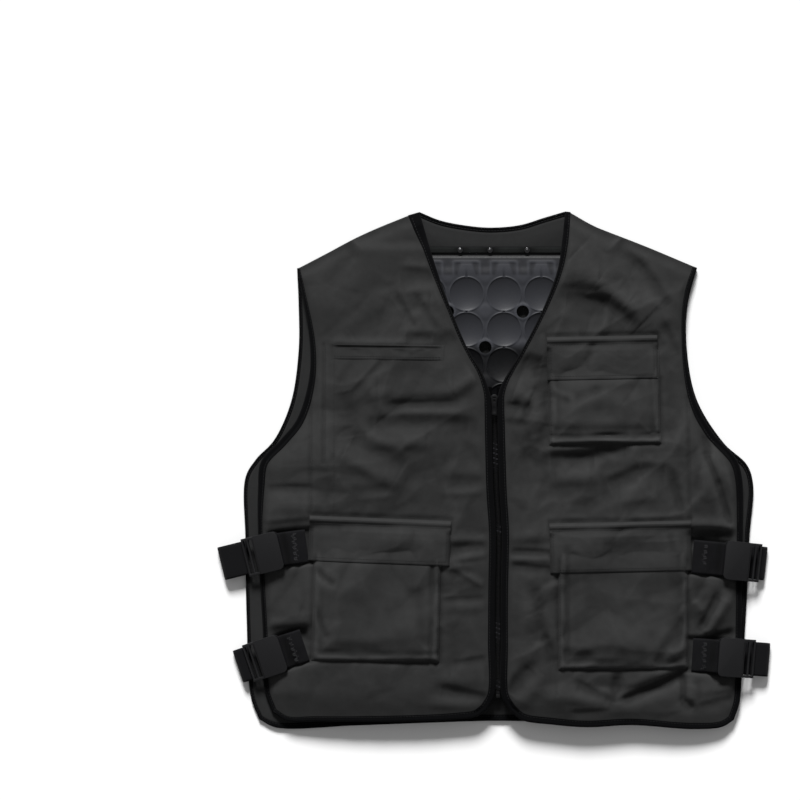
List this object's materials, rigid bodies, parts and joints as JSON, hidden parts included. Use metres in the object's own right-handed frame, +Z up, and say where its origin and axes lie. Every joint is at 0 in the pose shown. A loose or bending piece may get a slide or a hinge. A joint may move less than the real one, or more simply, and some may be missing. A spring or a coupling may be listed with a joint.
{
  "type": "cooling vest",
  "caption": "Sleeveless work vest with zip front, patch pockets, side straps with side-release buckles and a welded cooling panel inside the back, lying flat on its back.",
  "frame": {"origin": "underside of the back panel where it rests, midway between hem and shoulders and on the body's centre line", "axes": "+Z up from the surface through the vest's front, +Y towards the neck, +X towards the wearer's left side"},
  "size_m": [0.6634, 0.6203, 0.0476],
  "materials": {
    "cloth": "dark grey cotton twill, washed and softly creased",
    "binding": "black woven edge tape, stitched near its inner edge",
    "webbing": "black ribbed polypropylene webbing",
    "zip_tape": "black woven zip tape",
    "zip_teeth": "moulded black zip teeth with a light gleam",
    "dark_metal": "blackened metal",
    "buckle": "fine-textured black moulded plastic",
    "cooling_pad": "blue-grey welded film, satin"
  },
  "bodies": {
    "root": {"back_panel": "cloth", "right_front_panel": "cloth", "left_front_panel": "cloth", "right_lower_pocket": "cloth", "right_lower_flap": "cloth", "left_lower_pocket": "cloth", "left_lower_flap": "cloth", "left_chest_pocket": "cloth", "left_chest_flap": "cloth", "right_chest_welt": "cloth", "back_binding": "binding", "neck_binding": "binding", "right_front_binding": "binding", "left_front_binding": "binding", "hanger_strip": "binding", "right_zip_tape": "zip_tape", "left_zip_tape": "zip_tape", "zip_teeth": "zip_teeth", "zip_slider": "dark_metal", "zip_pull": "dark_metal", "zip_end_stop": "dark_metal", "press_stud_1": "dark_metal", "press_stud_2": "dark_metal", "press_stud_3": "dark_metal", "right_upper_front_strap": "webbing", "right_upper_back_strap": "webbing", "right_upper_buckle_socket": "buckle", "right_upper_buckle_plug": "buckle", "right_lower_front_strap": "webbing", "right_lower_back_strap": "webbing", "right_lower_buckle_socket": "buckle", "right_lower_buckle_plug": "buckle", "left_upper_front_strap": "webbing", "left_upper_back_strap": "webbing", "left_upper_buckle_socket": "buckle", "left_upper_buckle_plug": "buckle", "left_lower_front_strap": "webbing", "left_lower_back_strap": "webbing", "left_lower_buckle_socket": "buckle", "left_lower_buckle_plug": "buckle", "cooling_panel": "cooling_pad"}
  },
  "joints": []
}
